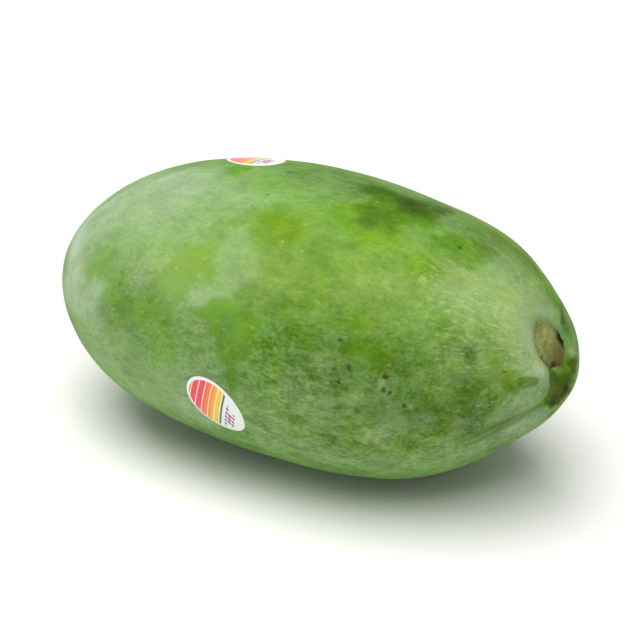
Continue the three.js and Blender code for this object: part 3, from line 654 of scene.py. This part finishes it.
def skinPaint():
    paint = Paint("mango_skin")
    grain = paint.painted("grain", "Vector")
    # soft patterns of four sizes, the two smaller ones drawn out along the fruit
    fine = paint.clouds(0.8 * mm, 2, 0.6, paint.spread(paint.place, (0.6, 1, 1)))
    small = paint.clouds(2.4 * mm, 2, 0.55, paint.spread(paint.place, (0.5, 1, 1)))
    mid = paint.clouds(8 * mm, 3, 0.55)
    wide = paint.clouds(32 * mm, 2, 0.5)
    net = paint.sum("MAXIMUM", paint.painted("netting"), 0.0)
    bent = paint.shift(grain, paint.spread(paint.clouds(8 * mm, 2, 0.6, out=1), (6 * mm,) * 3))
    drawn = paint.clouds(1.6 * mm, 3, 0.65, paint.spread(bent, (0.42, 1, 1)))

    # the green under the bloom
    hue = paint.clouds(4.2 * mm, 2, 0.5)
    lighter = paint.smooth(wide + (mid - 0.5) * 0.6, 0.35, 0.68)
    colour = paint.mix(lighter, skinTints["green"], skinTints["light green"])
    warmth, depthAndPaintedShade = paint.painted("warmth"), paint.painted("depthAndPaintedShade")
    colour = paint.mix(warmth * paint.smooth(mid, 0.2, 0.6, 0.6, 1.1), colour, skinTints["yellow"])
    # deeper green where the depth layer is painted: the skin's own deep green, and painted shade in some
    # strokes
    colour = paint.mix(depthAndPaintedShade * paint.smooth(mid, 0.25, 0.7, 1.1, 0.7), colour, skinTints["deep green"])
    # where the depth layer runs strongest the green turns darkest: painted shade in the groove and along the
    # top rim
    colour = paint.mix(paint.smooth(depthAndPaintedShade, 1.1, 2.3, 0, 0.8), colour, skinTints["darkest green of painted shade"])
    share = paint.smooth(depthAndPaintedShade, 0.3, 1.2, 0.28, 0.12)
    colour = paint.mix(paint.smooth(hue, 0.48, 0.75) * share, colour, skinTints["olive"])
    colour = paint.mix(paint.smooth(hue, 0.52, 0.25) * share, colour, skinTints["grass"])

    # the bloom, rubbed off in places; where powder strokes are painted highlights and painted reflected
    # light, this pale colour is painted light
    bare = paint.painted("rubbed") + (mid - 0.5) * 0.5 + (small - 0.5) * 0.6 + (fine - 0.5) * 0.7
    bare = paint.smooth(bare, 0.12, 0.85)
    blotchy = paint.painted("mottle")
    bloom = 0.15 + paint.painted("powderAndPaintedLight") + (wide - 0.5) * 0.3 + (mid - 0.5) * 0.16
    bloom = bloom + (small - 0.5) * (0.14 + blotchy * 0.4) + (fine - 0.5) * (0.12 + blotchy * 0.4)
    bloom = bloom * (1 - bare * 0.8)
    waxy = paint.mix(paint.smooth(warmth, -0.4, 0.6), skinTints["cool bloom"], skinTints["warm bloom"])
    colour = paint.mix(bloom, colour, waxy)

    # breathing pores, the pale net of cork towards the stem, and the fine mottle
    poreGrid = paint.spread(grain, (0.7, 1, 1))
    pick = paint.node("ShaderNodeSeparateColor", {}, {0: paint.cells(2.6 * mm, poreGrid, "Color")})
    pores = paint.smooth(paint.cells(2.6 * mm, poreGrid), 0.06, 0.24, 1, 0)
    pores = pores * paint.smooth(pick + net * 0.35, 0.45, 1)
    colour = paint.mix(pores * 0.24, colour, skinTints["pore"])
    curls = paint.clouds(4.5 * mm, 2, 0.6, paint.spread(bent, (0.5, 1, 1)))
    threads = paint.smooth(abs(curls - 0.5), 0.006, 0.07, 1, 0)
    threads = threads * paint.smooth(paint.clouds(2 * mm, 2, 0.5, bent), 0.45, 0.68) * net
    streaks = paint.smooth(drawn, 0.48, 0.72) * (0.12 + net * 0.7) * paint.smooth(mid, 0.3, 0.65, 0.4, 1.1)
    colour = paint.mix(threads * 0.28, colour, skinTints["net"])
    colour = paint.mix(streaks * 0.3, colour, skinTints["streak"])
    mottle = (1 + (fine - 0.5) * (0.45 + blotchy * 0.4)) * (1 + (small - 0.5) * (0.3 + blotchy * 0.2))
    colour = paint.node("ShaderNodeVectorMath", {"operation": "SCALE"}, {0: colour, "Scale": mottle})

    # corky specks and bruises
    wobble = paint.shift(paint.place, paint.spread(paint.clouds(0.6 * mm, 3, 0.7, out=1), (1.8 * mm,) * 3))
    wobble = paint.shift(wobble, (-0.9 * mm,) * 3)
    scarred = paint.smooth(paint.toSpots(scars, wobble), -0.3, 0.6, 0.6, 0)
    colour = paint.mix(scarred, colour, skinTints["scar"])
    corky = paint.smooth(paint.toSpots(specks, wobble), -0.25, 0.45, 1, 0)
    scattered = paint.cells(11 * mm, wobble)
    corky = paint.sum("MAXIMUM", corky, paint.smooth(scattered, 0.02, 0.06, 0.8, 0))
    colour = paint.mix(corky * 0.85, colour, skinTints["cork"])
    bruised = paint.smooth(paint.toSpots(bruises, wobble) + (small - 0.5) * 1.5, -0.4, 0.8, 0.6, 0)
    bruise = paint.painted("bruise")
    broad = paint.smooth(bruise + (small - 0.5) * 0.7 + (fine - 0.5) * 1.1, 0.15, 0.95, 0, 0.88)
    bruised = paint.sum("MAXIMUM", bruised, broad)
    pale = paint.smooth(hue, 0.35, 0.62) * (1 - paint.smooth(bruise, 0.9, 1.6))
    colour = paint.mix(bruised, colour, paint.mix(pale, skinTints["dark bruise"], skinTints["light bruise"]))

    roughness = 0.5 + bloom * 0.2
    height = fine * 0.04 + small * 0.05 + pores * 0.04 + threads * 0.04 + streaks * 0.03 - corky * 0.08
    return paint.surface(colour, roughness, height, **{
        "Specular IOR Level": 0.1, "Sheen Weight": 0.04, "Sheen Roughness": 0.45,
        "Sheen Tint": (0.85, 1, 0.9, 1)})


skin = makeFruit()
skin.data.materials.append(skinPaint())
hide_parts("fruit")
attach(skin, "root")
print("fruit made:", len(skin.data.polygons), "faces")


# the pieces on the skin: the cork of the stem and the two labels

stub = {
    "out": (0.946, -0.01, 0.322),  # the way that it faces
    "length": 12.4, "width": 10.6, "sides": 72,
    # radius (1 is the rim) and height over the skin, from under the skin to the middle
    "profile": [(0.75, -1.2), (0.96, -0.8), (1.0, -0.15), (0.98, 0.25), (0.94, 0.48), (0.88, 0.62),
                (0.81, 0.7), (0.73, 0.76), (0.64, 0.8), (0.55, 0.82), (0.46, 0.82), (0.37, 0.8),
                (0.28, 0.76), (0.19, 0.72), (0.1, 0.7)],
    # along (down) and across (to the far side), how far it reaches along and across, depth, ink, how strong
    "pit": (0.4, 4.8, 3.1, 2.1, 0.6, (24, 15, 3), 0.97),
    "notch": (5.4, -1.6, 1.8, 1.8, 0.4, (56, 44, 32), 0.88),
    "waves": ((2.4, 3.1), (6, 7.7)),  # lumps and ripples: how many to a radius, seed
    # the uneven outline: its share of the size, what lumps and ripples add, what each millimetre across adds
    "outline": (0.98, 0.1, 0.14, 0.014),
    "relief": (0.2, 0.14), "lowest": 0.1,  # what lumps and ripples add to the height, and the least height
}
corkTints = {
    "shade": tint(124, 134, 66), "light": tint(158, 168, 102), "low": tint(96, 106, 42),
    "brown": tint(88, 72, 42), "rim": tint(92, 78, 46), "near skin": tint(140, 156, 96),
    "far corner": tint(92, 120, 26), "crumb": tint(64, 50, 30),
}
label = {
    "length": 18.8, "width": 13.8, "thickness": 0.14, "gap": 0.04, "sides": 96, "rings": 12,
    "turns": {"label_front": -42, "label_back": -25},  # degrees from the fruit's length
    "slant": 0.45,                                     # of the printed bands
    # rows of dots: how far along, ink, radius, how far the row reaches to each side
    "rows": ((4.0, "blue", 0.48, 4), (6.3, "blue", 0.48, 2.8), (5.15, "raspberry", 0.65, 1.8)),
}
printTints = {
    "paper": tint(228, 231, 228), "red": tint(230, 56, 72), "orange": tint(240, 120, 40),
    "yellow": tint(238, 192, 14), "green": tint(58, 110, 60), "blue": tint(84, 94, 150),
    "raspberry": tint(206, 60, 110), "edge": tint(150, 156, 150),
}
ringStep = 0.01    # how far apart the rings of a round plate are kept until they are placed
castFrom = 8 * mm  # rays onto the skin start this far off it


# directions along and across the skin at a place, the first one nearest to the fruit's length, then turned
def acrossSkin(out, turn):
    out = out.normalized()
    along = (Vector((1, 0, 0)) - out * out.x).normalized()
    along = Matrix.Rotation(math.radians(turn), 3, out) @ along
    return out, along, out.cross(along)


# a round plate of rings, made flat: each ring is drawn in from the one before
def addRings(name, sides, radii):
    bpy.ops.object.select_all(action="DESELECT")
    bpy.ops.mesh.primitive_circle_add(vertices=sides, radius=radii[0], fill_type="NGON", location=(0, 0, 0))
    piece = bpy.context.object
    piece.name = name
    bpy.ops.object.mode_set(mode="EDIT")
    bpy.ops.mesh.select_all(action="SELECT")
    for before, radius in zip(radii[:-1], radii[1:]):
        bpy.ops.mesh.extrude_region_move(TRANSFORM_OT_translate={"value": (0, 0, ringStep)})
        bpy.ops.transform.resize(value=(radius / before, radius / before, 1))
    bpy.ops.mesh.poke()
    bpy.ops.object.mode_set(mode="OBJECT")
    return piece


def makeStub(tree):
    low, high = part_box("stem_stub")
    middle = (low + high) / 2
    out, along, across = acrossSkin(Vector(stub["out"]), 0)
    radii = [radius for radius, height in stub["profile"]]
    piece = addRings("stem_cork", stub["sides"], radii)
    flat = verticesOf(piece)
    order = np.round(flat[:, 2] / ringStep).astype(int)
    heights = np.array([height for radius, height in stub["profile"]])
    radius = np.hypot(flat[:, 0], flat[:, 1])
    up = np.where(radius < 0.01, heights[-1], heights[np.clip(order, 0, len(heights) - 1)])
    up[(radius < 0.01) & (order == 0)] = heights[0]
    halves = (stub["length"] / 2, stub["width"] / 2)
    storeVectors(piece, "face", np.c_[flat[:, :2] * halves, radius])
    rough, ripple = ([noise.noise(Vector((p[0] * many, p[1] * many, seed))) for p in flat]
                     for many, seed in stub["waves"])
    placed = np.zeros((len(flat), 3))
    for i, p in enumerate(flat):
        u, v = p[0] * halves[0], p[1] * halves[1]
        whole, rougher, rippled, wider = stub["outline"]
        grown = whole + rougher * rough[i] + rippled * ripple[i] + wider * max(v, 0)
        u, v = u * grown, v * grown
        spot = middle + (along * u + across * v) * mm
        hit = tree.ray_cast(spot + out * castFrom, -out)[0]
        h = up[i]
        if h > 0:
            h += stub["relief"][0] * rough[i] + stub["relief"][1] * ripple[i]
            for pu, pv, ru, rv, deep, *_ in (stub["pit"], stub["notch"]):
                h -= deep * float(ease(1 - math.hypot((u - pu) / ru, (v - pv) / rv), 0, 0.9))
            h = max(h, stub["lowest"])
        placed[i] = hit + out * h * mm
    moveVertices(piece, placed)
    applyModifier(piece, "SUBSURF", levels=2, render_levels=2)
    onlySelect(piece)
    bpy.ops.object.shade_smooth()
    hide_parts("stem_stub")
    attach(piece, "root")
    return piece


def makeLabel(node, tree):
    low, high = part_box(node)
    middle = (low + high) / 2
    out = tree.find_nearest(middle)[1]
    if out.dot(middle - Vector(fruit["heart"]) * mm) < 0:
        out = -out
    out, along, across = acrossSkin(out, label["turns"][node])
    rings = label["rings"]
    radii = [1 - ring / rings for ring in range(rings)]
    piece = addRings(node.replace("label", "sticker"), label["sides"], radii)
    flat = verticesOf(piece)
    flat[:, 0] *= label["length"] / 2
    flat[:, 1] *= label["width"] / 2
    storeVectors(piece, "print", flat * (1, 1, 0))
    placed = np.zeros((len(flat), 3))
    for i, p in enumerate(flat):
        spot = middle + (along * p[0] + across * p[1]) * mm
        hit, normal = tree.ray_cast(spot + out * castFrom, -out)[:2]
        placed[i] = hit + (normal if normal.dot(out) > 0 else -normal) * label["gap"] * mm
    moveVertices(piece, placed)
    onlySelect(piece)
    bpy.ops.object.mode_set(mode="EDIT")
    bpy.ops.mesh.select_all(action="SELECT")
    bpy.ops.mesh.normals_make_consistent(inside=False)
    bpy.ops.object.mode_set(mode="OBJECT")
    if sum(face.normal.dot(out) for face in piece.data.polygons) < 0:
        piece.data.flip_normals()
    applyModifier(piece, "SOLIDIFY", thickness=label["thickness"] * mm, offset=1)
    onlySelect(piece)
    bpy.ops.object.shade_smooth_by_angle(angle=math.radians(40))
    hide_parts(node)
    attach(piece, "root")
    return piece


def stubPaint():
    paint = Paint("stem_cork")
    fine = paint.clouds(0.5 * mm, 3, 0.65)
    lumps = paint.clouds(1.6 * mm, 3, 0.6)
    face = paint.painted("face", "Vector")  # millimetres down, millimetres across, share of the radius
    down, across, out = (paint.node("ShaderNodeSeparateXYZ", {}, {0: face}, k) for k in range(3))
    colour = paint.mix(paint.smooth(lumps, 0.35, 0.65), corkTints["shade"], corkTints["light"])
    low = paint.smooth(down + (lumps - 0.5) * 4, -3.5, 4.5, 0, 0.9)
    colour = paint.mix(low, colour, corkTints["low"])
    brown = paint.smooth(across * 0.45 + down * 0.4 + (lumps - 0.5) * 4, 0.3, 2.8)
    colour = paint.mix(brown * 0.75, colour, corkTints["brown"])
    rim = paint.smooth(out + (lumps - 0.5) * 0.7, 0.7, 1.02)
    colour = paint.mix(rim * 0.65, colour, corkTints["rim"])
    # towards the near side and the lower far corner it looks like the skin beside it
    near = paint.smooth(across + (lumps - 0.5) * 6, -1.8, -5.2, 0, 0.6)
    colour = paint.mix(near, colour, corkTints["near skin"])
    corner = paint.smooth(down * 0.7 + across * 0.7 + (lumps - 0.5) * 2, 3.9, 4.9)
    colour = paint.mix(corner * 0.85, colour, corkTints["far corner"])
    dots = paint.smooth(paint.cells(0.8 * mm), 0.12, 0.45, 1, 0)
    colour = paint.mix(dots * (0.22 + rim * 0.5), colour, corkTints["crumb"])
    for along, side, reach, breadth, _, ink, strength in (stub["notch"], stub["pit"]):
        scaled, centre = paint.spread(face, (1 / reach, 1 / breadth, 0)), (along / reach, side / breadth, 0)
        away = paint.node("ShaderNodeVectorMath", {"operation": "DISTANCE"}, {0: scaled, 1: centre}, "Value")
        sunken = paint.smooth(away + (lumps - 0.5) * 1.2, 0.3, 1.1, strength, 0)
        colour = paint.mix(sunken, colour, tint(*ink))
    height = fine * 0.12 + lumps * 0.25 - dots * 0.12 * (0.3 + rim)
    return paint.surface(colour, 0.85, height, **{"Specular IOR Level": 0.2})


def labelPaint():
    paint = Paint("label_paper")
    drawn = paint.painted("print", "Vector")
    along, across = (paint.node("ShaderNodeSeparateXYZ", {}, {0: drawn}, k) for k in range(2))
    # how far out on the oval, 1 at its edge, and how far along, measured on the slant
    scaled = paint.spread(drawn, (2 / label["length"], 2 / label["width"], 0))
    oval = paint.node("ShaderNodeVectorMath", {"operation": "LENGTH"}, {0: scaled}, "Value")
    slant = along + across * label["slant"]

    # slanting bands on the first part of the oval, then one dark line
    colour = paint.mix(paint.smooth(slant, -5.0, -2.4), printTints["red"], printTints["orange"])
    colour = paint.mix(paint.smooth(slant, -2.2, 0.6), colour, printTints["yellow"])
    bands = paint.smooth(abs(paint.sum("WRAP", slant, 1.05, -1.05)), 0.09, 0.16)
    inked = bands * paint.smooth(oval, 0.9, 0.92, 1, 0) * paint.smooth(slant, 1.5, 1.6, 1, 0)
    colour = paint.mix(inked, printTints["paper"], colour)
    leaf = paint.smooth(abs(slant - 2.2), 0.28, 0.36, 1, 0) * paint.smooth(oval, 0.87, 0.89, 1, 0)
    colour = paint.mix(leaf, colour, printTints["green"])

    # slanting rows of small dots
    step = abs(paint.sum("WRAP", across, 0.7, -0.7))
    for shift, ink, size, reach in label["rows"]:
        dot = paint.sum("SQRT", (slant - shift) * (slant - shift) + step * step)
        dot = paint.smooth(dot, size - 0.08, size + 0.04, 1, 0)
        dot = dot * paint.smooth(abs(across), reach, reach + 0.05, 1, 0)
        colour = paint.mix(dot * paint.smooth(oval, 0.86, 0.88, 1, 0), colour, printTints[ink])
    edge = paint.smooth(oval, 0.985, 1.0)
    colour = paint.mix(edge * 0.25, colour, printTints["edge"])
    return paint.surface(colour, 0.3, paint.clouds(3 * mm) * 0.05, bump=0.4)


surfaceTree = BVHTree.FromObject(skin, bpy.context.evaluated_depsgraph_get())
cork = makeStub(surfaceTree)
cork.data.materials.append(stubPaint())
print("stem made")
paper = labelPaint()
for node in ("label_front", "label_back"):
    sticker = makeLabel(node, surfaceTree)
    sticker.data.materials.append(paper)
print("labels made")


# the end

print("done")
